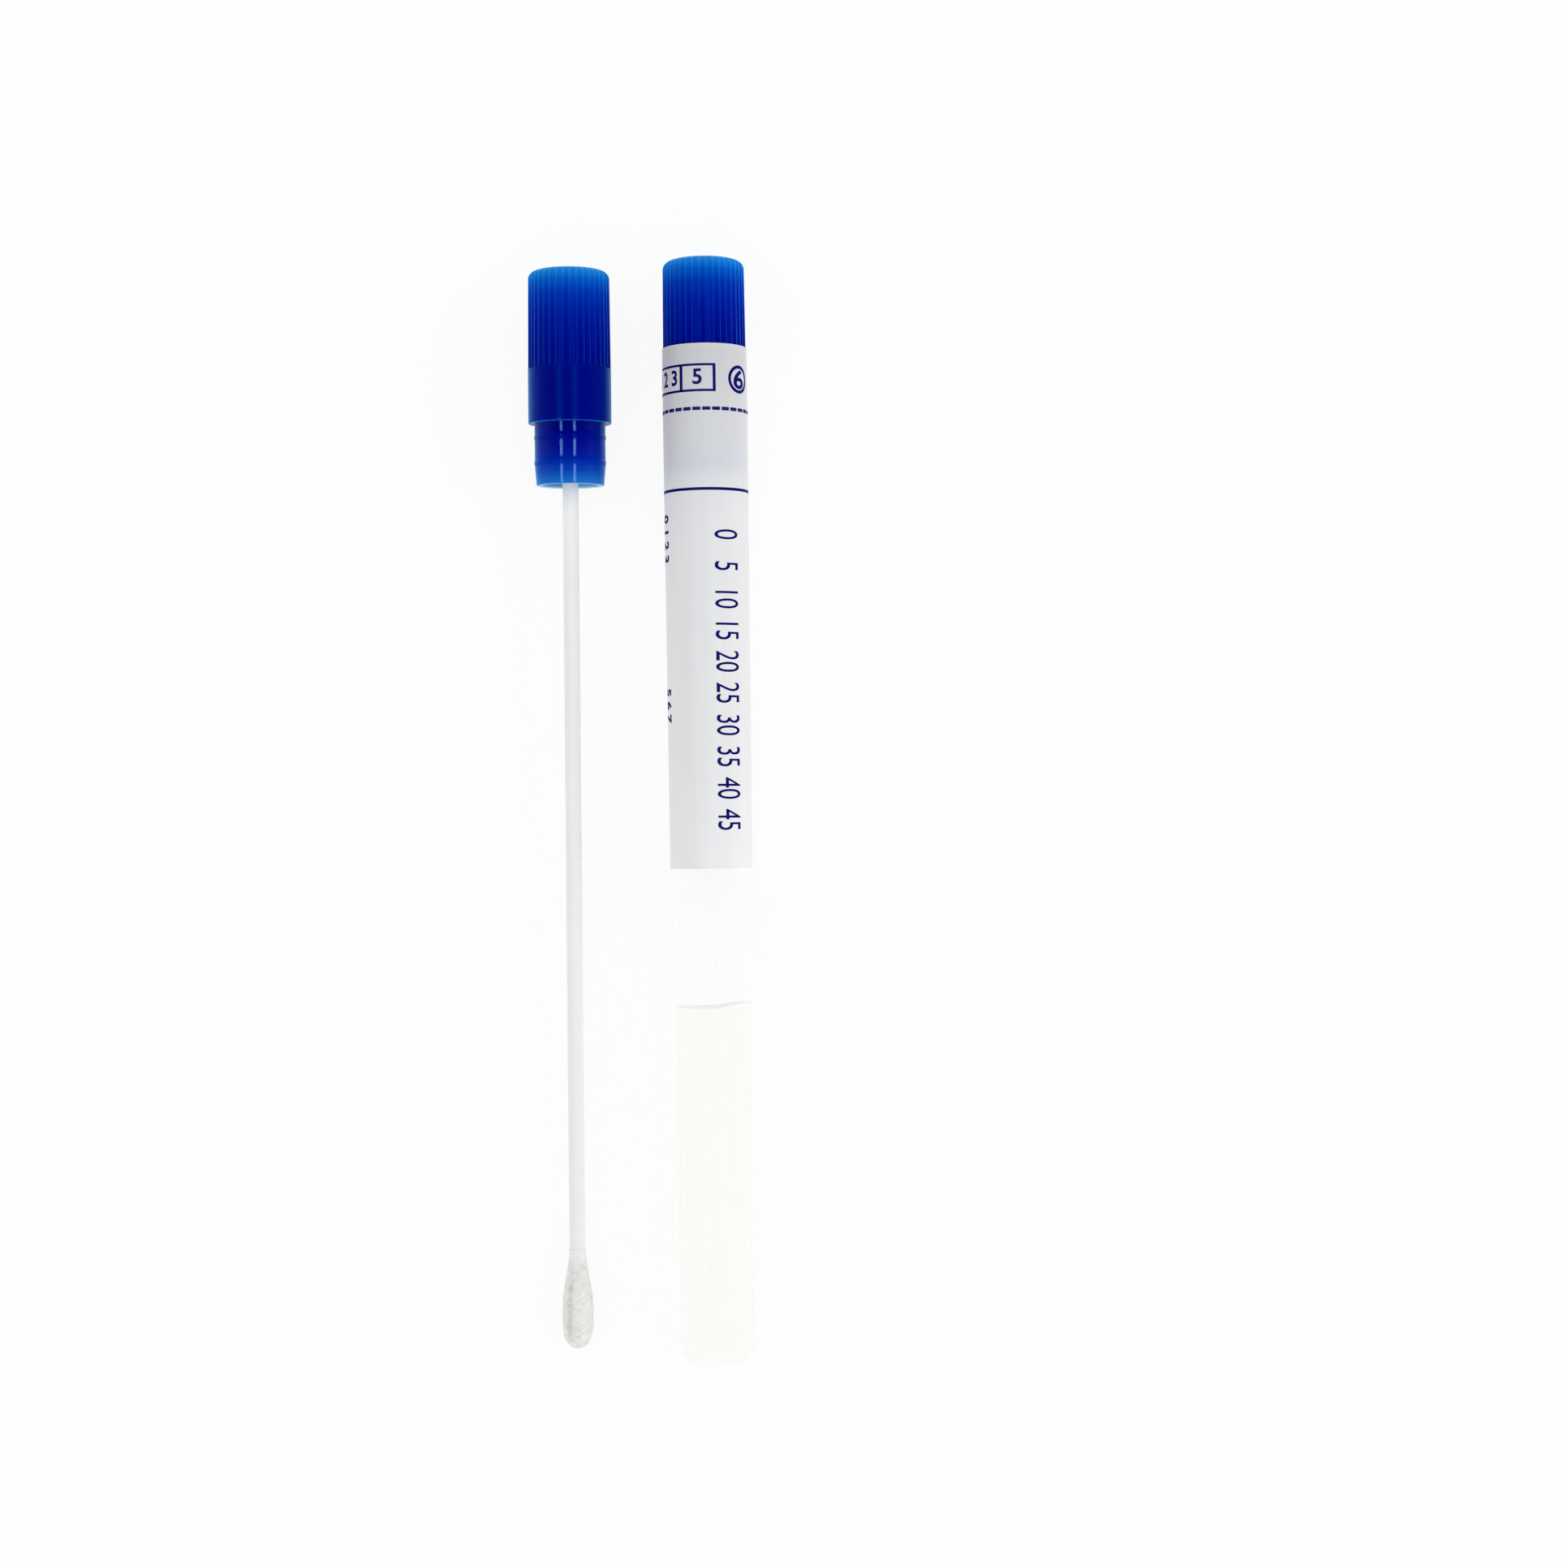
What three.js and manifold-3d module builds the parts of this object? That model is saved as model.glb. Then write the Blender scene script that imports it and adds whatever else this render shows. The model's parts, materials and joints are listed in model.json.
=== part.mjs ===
// Specimen swab tube: a round-bottomed sampling tube of transport gel, closed by a push-in stopper
// that a wrap-round label seals, and the swab that replaces the stopper once the specimen is taken.
// Tube and swab lie side by side on a flat surface, as they do when the pack has been opened.
//
// Millimetres. +Y runs along the tube towards its stopper, +X across, +Z up. The origin is on the
// surface, under the middle of the whole object.

import * as THREE from "three";
import { mergeVertices } from "three/addons/utils/BufferGeometryUtils.js";
import Module from "manifold-3d";

const wasm = await Module();
wasm.setup();

// ---------------------------------------------------------------- driving dimensions

// Tube: an injection-moulded test tube with a little draft.
const tubeLength = 150;
const tubeMouthRadius = 6.55;
const tubeDraft = THREE.MathUtils.degToRad(0.18);
const tubeWall = 0.8;
const tubeEndSharpness = 2.25; // 2 is a plain ellipse, more is flatter at the tip
const tubeRimChamfer = 0.15;

// Transport gel, filled to a level measured down from the mouth.
const gelDepthBelowMouth = 93.1;
const gelMeniscus = 0.5;
const gelClearance = 0.04;

// Cap moulding: the stopper and the swab's own cap are two shots from one mould.
const capCollarHeight = 8.6;
const capHeadHeight = 15.5;
const capHeadDraft = 0.12; // lost from the radius over the height of the head
const capEdgeRadius = 1.35;
const capCollarChamfer = 0.2;
const capTopWall = 1.5;
const ribCount = 38;
const ribHeight = 0.2;
const ribInset = 0.03; // crests of the ribs below the collar, at the ledge between them
const headSunk = 0.3; // how far the ribbed head runs down inside the collar
const ribBaseShare = 0.52; // of the pitch, at the foot of the rib
const ribCrestShare = 0.22;
const plugLength = 9.7;
const plugClearance = 0.07; // between the sealing beads and the tube's bore
const beadHeight = 0.1;
const beadHalfLength = 0.55;
const beadDepths = [2.2, 6.1]; // below the shoulder
const plugLeadIn = 0.25; // lost from the radius over the tapered lead-in
const plugWall = 0.85;
const cavityDraft = 0.2;
const seatGap = 0.05; // shoulder to tube rim, and shaft end to its seat

// Socket inside the cap, which grips the shaft.
const socketWall = 0.9;
const socketRecess = 6.7; // from the plug's open end up to the socket's mouth
const socketGrip = 8.3; // length of the shaft inside the socket
const socketReliefRadius = 0.8;
const socketLeadIn = 0.3;

// Swab.
const shaftRadius = 1.25;
const shaftLength = 150;
const shaftClearance = 0.05;
const shaftEndChamfer = 0.2;
const budLength = 15.8;
const budRadius = 2.58;
const budNeckThickness = 0.12;
const budTipThickness = 1.3; // fibre beyond the end of the shaft
const budWidestFromTip = 5;
const budTipSharpness = 2.5;

// Label: one strip of film round the tube and the cap's collar, perforated at the joint between them.
const labelThickness = 0.1;
const labelClearance = 0.02;
const labelLap = 2.5; // the strip's end lies over its start by this much
const labelSeamAngle = 215; // degrees from +X towards +Z, looking from the bottom of the tube
const sealOverlap = 1.6; // the label reaches this far past the collar, over the foot of the ribs
const labelHeight = 71.6;
const perforationGap = 0.05;

// How the swab lies beside the tube.
const swabSpacing = 21.35; // between the two axes, at the cap's shoulder
const swabSetBack = 1.3; // shoulder of the swab's cap below the mouth of the tube
const swabSkew = THREE.MathUtils.degToRad(0.33);

// Where each group balances, along its own axis from the shoulder. It only picks the two rings it rests on.
const tubeBalance = -80;
const swabBalance = -13;

// Facets of round faces.
const tubeSegments = 64;
const capSegments = 60;
const boreSegments = 40;
const shaftSegments = 24;
const labelSegments = 72;

// ---------------------------------------------------------------- derived sizes

const capRadius = tubeMouthRadius; // the collar is flush with the tube
const capHeight = capCollarHeight + capHeadHeight;
const tubeTaper = Math.tan(tubeDraft); // radius lost for each millimetre of depth
const tubeEndRadius = (tubeMouthRadius - tubeTaper * tubeLength) / (1 - tubeTaper);
const tubeEndDepth = tubeEndRadius; // height of the rounded end
const boreRadius = tubeMouthRadius - tubeWall;
const beadRadius = boreRadius - plugClearance;
const plugRadius = beadRadius - beadHeight;
const plugEndRadius = plugRadius - plugLeadIn;
const cavityRadius = plugEndRadius - plugWall;
const socketBore = shaftRadius + shaftClearance;
const socketRadius = socketBore + socketWall;
const socketMouth = socketRecess - plugLength; // heights in the cap are measured from its shoulder
const shaftTop = socketMouth + socketGrip;
const shaftEnd = shaftTop - shaftLength;
const budTip = shaftEnd - budTipThickness;
const labelBuild = labelClearance + labelThickness; // radius that one layer of film adds
const sealBandHeight = capCollarHeight + sealOverlap;

const tubeOuterRadius = (y) => tubeMouthRadius + tubeTaper * y;
const tubeInnerRadius = (y) => tubeOuterRadius(y) - tubeWall;

// ---------------------------------------------------------------- making solids

function solidFrom(geometry) {
  const bare = geometry.index ? geometry.toNonIndexed() : geometry.clone();
  bare.deleteAttribute("normal");
  bare.deleteAttribute("uv");
  const merged = mergeVertices(bare, 1e-4);
  return new wasm.Manifold(
    new wasm.Mesh({
      numProp: 3,
      vertProperties: merged.attributes.position.array,
      triVerts: new Uint32Array(merged.index.array),
    })
  );
}

function geometryFrom(solid) {
  const mesh = solid.getMesh();
  const geometry = new THREE.BufferGeometry();
  geometry.setAttribute("position", new THREE.BufferAttribute(mesh.vertProperties, 3));
  geometry.setIndex(new THREE.BufferAttribute(mesh.triVerts, 1));
  geometry.computeVertexNormals();
  return geometry;
}

// A profile is a list of [radius, height] points. It runs up the outside and, on a hollow piece,
// down the inside.
function revolve(profile, segments) {
  return new THREE.LatheGeometry(
    profile.map(([radius, height]) => new THREE.Vector2(radius, height)),
    segments
  );
}

// Skins a stack of rings, each an array of points in the same order, and closes both ends.
function loft(rings) {
  const count = rings[0].length;
  const positions = rings.flat().flatMap((point) => point.toArray());
  const index = [];
  for (let k = 0; k + 1 < rings.length; k++) {
    for (let i = 0; i < count; i++) {
      const [a, b] = [k * count + i, k * count + ((i + 1) % count)];
      index.push(a, a + count, b, b, a + count, b + count);
    }
  }
  const outline = rings[0].map((point) => new THREE.Vector2(point.x, point.z));
  const lastRing = (rings.length - 1) * count;
  for (const [a, b, c] of THREE.ShapeUtils.triangulateShape(outline, [])) {
    index.push(a, b, c, lastRing + a, lastRing + c, lastRing + b);
  }
  const geometry = new THREE.BufferGeometry();
  geometry.setAttribute("position", new THREE.Float32BufferAttribute(positions, 3));
  geometry.setIndex(index);
  return geometry;
}

const polar = (radius, angle, height) =>
  new THREE.Vector3(radius * Math.cos(angle), height, radius * Math.sin(angle));

// A quarter of a rounded end, from the axis at the tip up to the full radius.
function roundedEnd(radius, depth, tip, sharpness, steps) {
  const points = [];
  for (let i = 0; i <= steps; i++) {
    const turn = ((Math.PI / 2) * i) / steps;
    const across = Math.sin(turn) ** (2 / sharpness);
    const along = Math.cos(turn) ** (2 / sharpness);
    points.push([i ? radius * across : 0, tip + depth * (1 - along)]);
  }
  return points;
}

// ---------------------------------------------------------------- the tube and its gel

function tubeBore(clearance, steps) {
  const wallAtEnd = tubeWall + clearance;
  const endTop = tubeEndDepth - tubeLength;
  const radius = tubeOuterRadius(endTop) - wallAtEnd;
  return roundedEnd(radius, tubeEndDepth - wallAtEnd, wallAtEnd - tubeLength, tubeEndSharpness, steps);
}

function makeTube() {
  const outside = roundedEnd(tubeEndRadius, tubeEndDepth, -tubeLength, tubeEndSharpness, 8);
  const rim = [
    [tubeMouthRadius, -tubeRimChamfer],
    [tubeMouthRadius - tubeRimChamfer, 0],
    [boreRadius + tubeRimChamfer, 0],
    [boreRadius, -tubeRimChamfer],
  ];
  const inside = tubeBore(0, 8).reverse();
  return revolve([...outside, ...rim, ...inside], tubeSegments);
}

function makeGel() {
  const level = -gelDepthBelowMouth;
  const radius = tubeInnerRadius(level) - gelClearance;
  const surface = [1, 0.93, 0.8, 0.55, 0].map((share) => [
    radius * share,
    level + gelMeniscus * share ** 6,
  ]);
  return revolve([...tubeBore(gelClearance, 8), ...surface], boreSegments);
}

// ---------------------------------------------------------------- the cap moulding

// Collar and plug, up to the ledge where the ribs start.
function collarAndPlug() {
  const bead = (depth) => [
    [plugRadius, -depth - beadHalfLength],
    [beadRadius, -depth - beadHalfLength / 3],
    [beadRadius, -depth + beadHalfLength / 3],
    [plugRadius, -depth + beadHalfLength],
  ];
  const leadInTop = beadDepths[1] + beadHalfLength;
  return revolve(
    [
      [0, -plugLength],
      [plugEndRadius - plugWall / 4, -plugLength],
      [plugEndRadius, -plugLength + plugWall / 4],
      [plugRadius, -leadInTop],
      ...bead(beadDepths[1]),
      ...bead(beadDepths[0]),
      [plugRadius, seatGap],
      [capRadius - capCollarChamfer, seatGap],
      [capRadius, seatGap + capCollarChamfer],
      [capRadius, capCollarHeight],
      [0, capCollarHeight],
    ],
    capSegments
  );
}

// One ring of the ribbed head: lift is how far the ribs stand out of it.
function ribbedRing(radius, lift, height) {
  const pitch = (2 * Math.PI) / ribCount;
  const ring = [];
  for (let k = 0; k < ribCount; k++) {
    const middle = k * pitch;
    ring.push(
      polar(radius, middle - (ribBaseShare * pitch) / 2, height),
      polar(radius + lift, middle - (ribCrestShare * pitch) / 2, height),
      polar(radius + lift, middle + (ribCrestShare * pitch) / 2, height),
      polar(radius, middle + (ribBaseShare * pitch) / 2, height)
    );
  }
  return ring;
}

// The head tapers up to a rounded edge, over which the ribs fade out.
function ribbedHead() {
  const base = capRadius - ribInset - ribHeight;
  const edgeStart = capHeight - capEdgeRadius;
  const radiusAt = (y) => base - (capHeadDraft * (y - capCollarHeight)) / capHeadHeight;
  const rings = [
    ribbedRing(base, 0, capCollarHeight - headSunk),
    ribbedRing(base, ribHeight, capCollarHeight),
    ribbedRing(radiusAt(edgeStart), ribHeight, edgeStart),
  ];
  for (const degrees of [30, 60, 90]) {
    const turn = THREE.MathUtils.degToRad(degrees);
    const radius = radiusAt(edgeStart) - capEdgeRadius * (1 - Math.cos(turn));
    const lift = ribHeight * Math.cos(turn);
    rings.push(ribbedRing(radius, lift, edgeStart + capEdgeRadius * Math.sin(turn)));
  }
  return loft(rings);
}

// The hollow that the core leaves, open at the plug's end.
function capCavity() {
  const top = capHeight - capTopWall;
  const topRadius = cavityRadius - cavityDraft;
  const corner = 0.8;
  return revolve(
    [
      [0, -plugLength - 1],
      [cavityRadius, -plugLength - 1],
      [cavityRadius, -plugLength],
      [topRadius, top - corner],
      [topRadius - corner * 0.3, top - corner * 0.3],
      [topRadius - corner, top],
      [0, top],
    ],
    boreSegments
  );
}

// The tube in the middle of the hollow that takes the shaft, which stops on the step in its bore.
function capSocket() {
  const top = capHeight - capTopWall + capTopWall / 3;
  const boreTop = capHeight - capTopWall;
  const seat = shaftTop + seatGap;
  return revolve(
    [
      [socketBore, socketMouth + socketLeadIn],
      [socketBore + socketLeadIn, socketMouth],
      [socketRadius, socketMouth],
      [socketRadius, top],
      [0, top],
      [0, boreTop],
      [socketReliefRadius, boreTop],
      [socketReliefRadius, seat],
      [socketBore, seat],
      [socketBore, socketMouth + socketLeadIn],
    ],
    shaftSegments
  );
}

function makeCap() {
  const outside = solidFrom(collarAndPlug()).add(solidFrom(ribbedHead()));
  const hollow = outside.subtract(solidFrom(capCavity()));
  return geometryFrom(hollow.add(solidFrom(capSocket())));
}

// ---------------------------------------------------------------- the swab

function makeShaft() {
  return revolve(
    [
      [0, shaftEnd],
      [shaftRadius - shaftEndChamfer, shaftEnd],
      [shaftRadius, shaftEnd + shaftEndChamfer],
      [shaftRadius, shaftTop - shaftEndChamfer],
      [shaftRadius - shaftEndChamfer, shaftTop],
      [0, shaftTop],
    ],
    shaftSegments
  );
}

// Fibre wound on the end of the shaft: a teardrop, open at the neck where the shaft goes in.
function makeBud() {
  const bore = shaftRadius + shaftClearance;
  const neckRadius = bore + budNeckThickness;
  const widest = budTip + budWidestFromTip;
  const neck = budTip + budLength;
  const flare = [];
  for (let i = 1; i <= 8; i++) {
    const share = i / 8;
    const swell = (1 + Math.cos(Math.PI * share ** 1.15)) / 2;
    flare.push([neckRadius + (budRadius - neckRadius) * swell, widest + (neck - widest) * share]);
  }
  const boreEnd = shaftEnd - shaftClearance;
  return revolve(
    [
      ...roundedEnd(budRadius, budWidestFromTip, budTip, budTipSharpness, 8),
      ...flare,
      [bore, neck],
      [bore, boreEnd],
      [0, boreEnd],
    ],
    shaftSegments
  );
}

// ---------------------------------------------------------------- the label

// Angles round the wrapped strip, each with its lift: once round, then on over its own start.
function lappedStops() {
  const step = (2 * Math.PI) / labelSegments;
  const lapEnd = 2 * Math.PI + labelLap / tubeMouthRadius;
  const stops = [];
  for (let k = 0; k < labelSegments - 1; k++) stops.push([k * step, 0]);
  for (let angle = 2 * Math.PI; angle < lapEnd; angle += step) stops.push([angle, labelBuild]);
  return [...stops, [lapEnd, labelBuild]];
}

function lappedRing(radius, height) {
  const seam = THREE.MathUtils.degToRad(labelSeamAngle);
  const side = (offset) => ([angle, lift]) => polar(radius + lift + offset, seam + angle, height);
  const stops = lappedStops();
  return [...stops.map(side(labelThickness)), ...stops.map(side(0)).reverse()];
}

const makeLabel = () =>
  loft(
    [-labelHeight, -perforationGap].map((y) => lappedRing(tubeOuterRadius(y) + labelClearance, y))
  );

const makeSealBand = () =>
  loft([seatGap, sealBandHeight].map((y) => lappedRing(capRadius + labelClearance, y)));

// ---------------------------------------------------------------- assembly

const stopperBlue = new THREE.MeshStandardMaterial({ color: 0x0a3aa8, roughness: 0.35, metalness: 0 });
const clearPlastic = new THREE.MeshStandardMaterial({
  color: 0xf3f5f2,
  roughness: 0.2,
  metalness: 0,
  transparent: true,
  opacity: 0.35,
});
const gelCream = new THREE.MeshStandardMaterial({
  color: 0xfaf5e8,
  roughness: 0.4,
  metalness: 0,
  transparent: true,
  opacity: 0.6,
});
const labelFilm = new THREE.MeshStandardMaterial({ color: 0xe6e6e8, roughness: 0.5, metalness: 0 });
const shaftWhite = new THREE.MeshStandardMaterial({ color: 0xf0f0ee, roughness: 0.4, metalness: 0 });
const fibreWhite = new THREE.MeshStandardMaterial({ color: 0xf4f3ef, roughness: 0.95, metalness: 0 });

function piece(name, geometry, material) {
  const mesh = new THREE.Mesh(geometry, material);
  mesh.name = name;
  return mesh;
}

// The two rings that a row of coaxial rings rests on: the edge of their outline's hull that spans
// the balance point.
function restingRings(rings, balance) {
  const sorted = [...rings].sort((a, b) => a[1] - b[1]);
  for (const low of sorted) {
    for (const high of sorted) {
      if (low[1] >= balance || high[1] < balance) continue;
      const slope = (high[0] - low[0]) / (high[1] - low[1]);
      const underLine = ([radius, y]) => radius <= low[0] + slope * (y - low[1]) + 1e-9;
      if (sorted.every(underLine)) return [low, high];
    }
  }
  throw new Error("no pair of rings spans the balance point");
}

// Tips a group whose axis is +Y so that it rests on the plane z = 0.
function layDown(group, rings, balance) {
  const [low, high] = restingRings(rings, balance);
  const tilt = Math.atan((high[0] - low[0]) / (high[1] - low[1]));
  group.rotation.order = "ZXY";
  group.rotation.x = tilt;
  group.position.z = low[0] * Math.cos(tilt) - low[1] * Math.sin(tilt);
}

const capGeometry = makeCap();

const tubeGroup = new THREE.Group();
tubeGroup.add(
  piece("tube", makeTube(), clearPlastic),
  piece("transport_medium", makeGel(), gelCream),
  piece("tube_label", makeLabel(), labelFilm),
  piece("label_seal_band", makeSealBand(), labelFilm),
  piece("tube_stopper", capGeometry, stopperBlue)
);
const labelOuterRadius = (y) => tubeOuterRadius(y) + labelBuild;
layDown(
  tubeGroup,
  [
    [tubeEndRadius, tubeEndDepth - tubeLength],
    [labelOuterRadius(-labelHeight), -labelHeight],
    [labelOuterRadius(0), 0],
    [capRadius + labelBuild, sealBandHeight],
    [capRadius - capHeadDraft, capHeight - capEdgeRadius],
  ],
  tubeBalance
);

const swabGroup = new THREE.Group();
swabGroup.add(
  piece("swab_cap", capGeometry, stopperBlue),
  piece("swab_shaft", makeShaft(), shaftWhite),
  piece("swab_bud", makeBud(), fibreWhite)
);
layDown(
  swabGroup,
  [
    [budRadius, budTip + budWidestFromTip],
    [plugEndRadius, -plugLength],
    [capRadius, seatGap + capCollarChamfer],
    [capRadius, capCollarHeight],
    [capRadius - capHeadDraft, capHeight - capEdgeRadius],
  ],
  swabBalance
);
swabGroup.rotation.z = -swabSkew;
swabGroup.position.x = -swabSpacing;
swabGroup.position.y = -swabSetBack;

const swabTube = new THREE.Group();
swabTube.name = "specimen_swab_tube";
swabTube.add(tubeGroup, swabGroup);

// The origin goes under the middle of the box that holds both.
swabTube.updateMatrixWorld(true);
const middle = new THREE.Box3().setFromObject(swabTube, true).getCenter(new THREE.Vector3());
for (const group of [tubeGroup, swabGroup]) {
  group.position.x -= middle.x;
  group.position.y -= middle.y;
}
swabTube.updateMatrixWorld(true);

export default swabTube;
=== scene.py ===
"""Specimen swab tube: the looks of its pieces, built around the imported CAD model.

The pieces are made in millimetres, in a frame of their own: +Y along the axis of the tube or swab,
out of the tube's mouth or the cap's shoulder, +Z up and +X across.
"""

import json
import math

import bmesh
import bpy
import numpy as np
from mathutils import Matrix, Vector


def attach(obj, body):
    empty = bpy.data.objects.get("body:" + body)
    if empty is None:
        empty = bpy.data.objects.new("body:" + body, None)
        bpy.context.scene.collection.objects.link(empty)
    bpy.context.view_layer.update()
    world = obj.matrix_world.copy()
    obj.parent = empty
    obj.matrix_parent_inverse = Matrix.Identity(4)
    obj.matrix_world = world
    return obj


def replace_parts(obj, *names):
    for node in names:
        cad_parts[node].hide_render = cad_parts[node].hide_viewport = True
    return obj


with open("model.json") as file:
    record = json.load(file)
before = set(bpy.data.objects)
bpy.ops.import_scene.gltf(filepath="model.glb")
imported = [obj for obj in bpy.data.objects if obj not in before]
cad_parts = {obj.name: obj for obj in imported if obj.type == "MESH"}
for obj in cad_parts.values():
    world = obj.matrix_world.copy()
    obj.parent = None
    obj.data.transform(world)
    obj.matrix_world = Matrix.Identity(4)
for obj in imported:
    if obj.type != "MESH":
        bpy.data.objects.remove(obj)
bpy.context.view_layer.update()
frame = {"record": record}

MM = 0.001
TURN = 2 * math.pi
TINY = 1e-6
rng = np.random.default_rng(7)

# ---------------------------------------------------------------- sizes, as the CAD model has them

TUBE_LENGTH = 150.0
TUBE_RADIUS = 6.55
TUBE_TAPER = math.tan(math.radians(0.18))
TUBE_END_RADIUS = (TUBE_RADIUS - TUBE_TAPER * TUBE_LENGTH) / (1 - TUBE_TAPER)
TUBE_WALL = 0.8
TUBE_END_SHARPNESS = 2.25

GEL_DEPTH = 93.1
GEL_MENISCUS = 0.5
GEL_WETTING = 0.03
GEL_UNEVEN = 0.6
GEL_TILT = 0.28
# Depth down the wall over which the painted shade at the gel's surface fades.
GEL_SHADE_BAND = 0.3

CAP_HEIGHT = 24.1
COLLAR_HEIGHT = 8.6
CAP_DRAFT = 0.12
CAP_EDGE = 1.35
RIBS = 38
RIB_HEIGHT = 0.2
RIB_INSET = 0.03
SEAT_GAP = 0.05
PLUG_LENGTH = 9.7
PLUG_RADIUS = 5.58
PLUG_END_RADIUS = 5.33
BEAD_HEIGHT = 0.1
BEAD_DEPTHS = (2.2, 6.1)
BEAD_HALF = 0.45
CAVITY_RADIUS = 4.48
CAVITY_TOP_RADIUS = 4.28
CAVITY_TOP = 22.6
SOCKET_RADIUS = 2.2
SOCKET_BORE = 1.3
SOCKET_MOUTH = -3.0
SHAFT_SEAT = 5.35
RELIEF_RADIUS = 0.8

SHAFT_RADIUS = 1.25
SHAFT_TOP = 5.3
SHAFT_LENGTH = 150.0
SHAFT_END = SHAFT_TOP - SHAFT_LENGTH
BUD_TIP = SHAFT_END - 1.3
BUD_LENGTH = 15.8
BUD_NECK = BUD_TIP + BUD_LENGTH
BUD_RADIUS = 2.58
BUD_WIDEST = 5.0
BUD_SHARPNESS = 2.5

FILM = 0.1
FILM_CLEARANCE = 0.02
FILM_LAP = 2.5
FILM_SEAM = math.radians(215)
BAND_TOP = 10.2
LABEL_FOOT = -71.6
FILM_GAP = 0.01


def tube_radius(y):
    return TUBE_RADIUS + TUBE_TAPER * y


def collar_radius(_):
    return TUBE_RADIUS


# ---------------------------------------------------------------- places


def axis_place(mount_name):
    """Where a piece's own frame lies: the mount is at the flat end of its cap, on its axis."""
    end = next(m for m in frame["record"]["mounts"] if m["name"] == mount_name)
    along = Vector(end["axis"]).normalized()
    across = along.cross(Vector((0, 0, 1))).normalized()
    up = across.cross(along)
    turn = Matrix((across, along, up)).transposed().to_4x4()
    return Matrix.Translation(Vector(end["pos_m"]) - along * CAP_HEIGHT * MM) @ turn


TUBE_PLACE = axis_place("stopper_end")
SWAB_PLACE = axis_place("swab_cap_end")

# ---------------------------------------------------------------- meshes

ROUND_STEPS = 192
FILLET_SHARE = 0.45


def skin(rings):
    """Points and faces through closed rings, the first and last of which may be one point each."""
    points, starts = [], []
    for ring in rings:
        starts.append(len(points))
        points.extend(ring)
    faces = []
    for (ring, a), (other, b) in zip(zip(rings, starts), list(zip(rings, starts))[1:]):
        count = max(len(ring), len(other))
        for i in range(count):
            j = (i + 1) % count
            if len(ring) == 1:
                faces.append((a, b + i, b + j))
            elif len(other) == 1:
                faces.append((a + i, b, a + j))
            else:
                faces.append((a + i, b + i, b + j, a + j))
    return np.array(points, float), faces


def add_piece(name, points, faces, place, material):
    """A smooth object from points in millimetres."""
    mesh = bpy.data.meshes.new(name)
    mesh.from_pydata((points * MM).tolist(), [], faces)
    mesh.polygons.foreach_set("use_smooth", [True] * len(mesh.polygons))
    mesh.materials.append(material)
    piece = bpy.data.objects.new(name, mesh)
    bpy.context.scene.collection.objects.link(piece)
    piece.matrix_world = place
    return piece


def set_values(piece, name, values):
    """Gives each point a number that the piece's material reads."""
    piece.data.attributes.new(name, "FLOAT", "POINT").data.foreach_set("value", values)


def even_normals(piece):
    """Large faces keep their own direction, and the small ones in the fillets turn."""
    modifier = piece.modifiers.new("even_normals", "WEIGHTED_NORMAL")
    modifier.weight = 100
    modifier.keep_sharp = True


def rounded(corners, steps=4):
    """Points (radius, height) along corners (radius, height, fillet), with each fillet curved."""
    line = [np.array(corners[0][:2], float)]
    for before, corner, after in zip(corners, corners[1:], corners[2:]):
        here = np.array(corner[:2], float)
        if corner[2] == 0:
            line.append(here)
            continue
        back, on = np.array(before[:2]) - here, np.array(after[:2]) - here
        room = min(np.linalg.norm(back), np.linalg.norm(on)) * FILLET_SHARE
        reach = min(corner[2], room)
        start = here + back / np.linalg.norm(back) * reach
        end = here + on / np.linalg.norm(on) * reach
        for t in np.linspace(0, 1, steps + 1):
            line.append((1 - t) ** 2 * start + 2 * t * (1 - t) * here + t**2 * end)
    line.append(np.array(corners[-1][:2], float))
    return line


def held(line, near=0.06):
    """Adds a point close to each end of a long stretch, so that smooth shading leaves it straight."""
    out = [line[0]]
    for before, after in zip(line, line[1:]):
        step = np.array(after, float) - np.array(before, float)
        length = np.linalg.norm(step)
        if length > 5 * near:
            out += [before + step * near / length, after - step * near / length]
        out.append(after)
    return out


def circle(radius, height, angles):
    """A ring of points about the axis, or the one point on it."""
    if radius == 0:
        return [(0.0, height, 0.0)]
    return [(radius * math.cos(a), height, radius * math.sin(a)) for a in angles]


def revolve(line, segments=ROUND_STEPS):
    """The closed form that an outline (radius, height) makes when it is turned about the axis."""
    angles = np.arange(segments) * TURN / segments
    return skin([circle(radius, height, angles) for radius, height in line])


def rounded_end(radius, depth, tip, sharpness, steps):
    """A quarter of a rounded end, from the axis at the tip up to the full radius."""
    line = [(0.0, tip)]
    for turn in np.linspace(0, math.pi / 2, steps + 1)[1:]:
        across = math.sin(turn) ** (2 / sharpness)
        along = max(math.cos(turn), 0) ** (2 / sharpness)
        line.append((radius * across, tip + depth * (1 - along)))
    return line


# ---------------------------------------------------------------- materials


def put(tree, socket, value):
    """Links a socket to another node's output, or sets its own value."""
    if isinstance(value, bpy.types.NodeSocket):
        tree.links.new(value, socket)
    else:
        socket.default_value = value


def add_node(tree, kind, inputs=(), **settings):
    node = tree.nodes.new(kind)
    for key, value in settings.items():
        setattr(node, key, value)
    for key, value in dict(inputs).items():
        put(tree, node.inputs[key], value)
    return node


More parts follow.
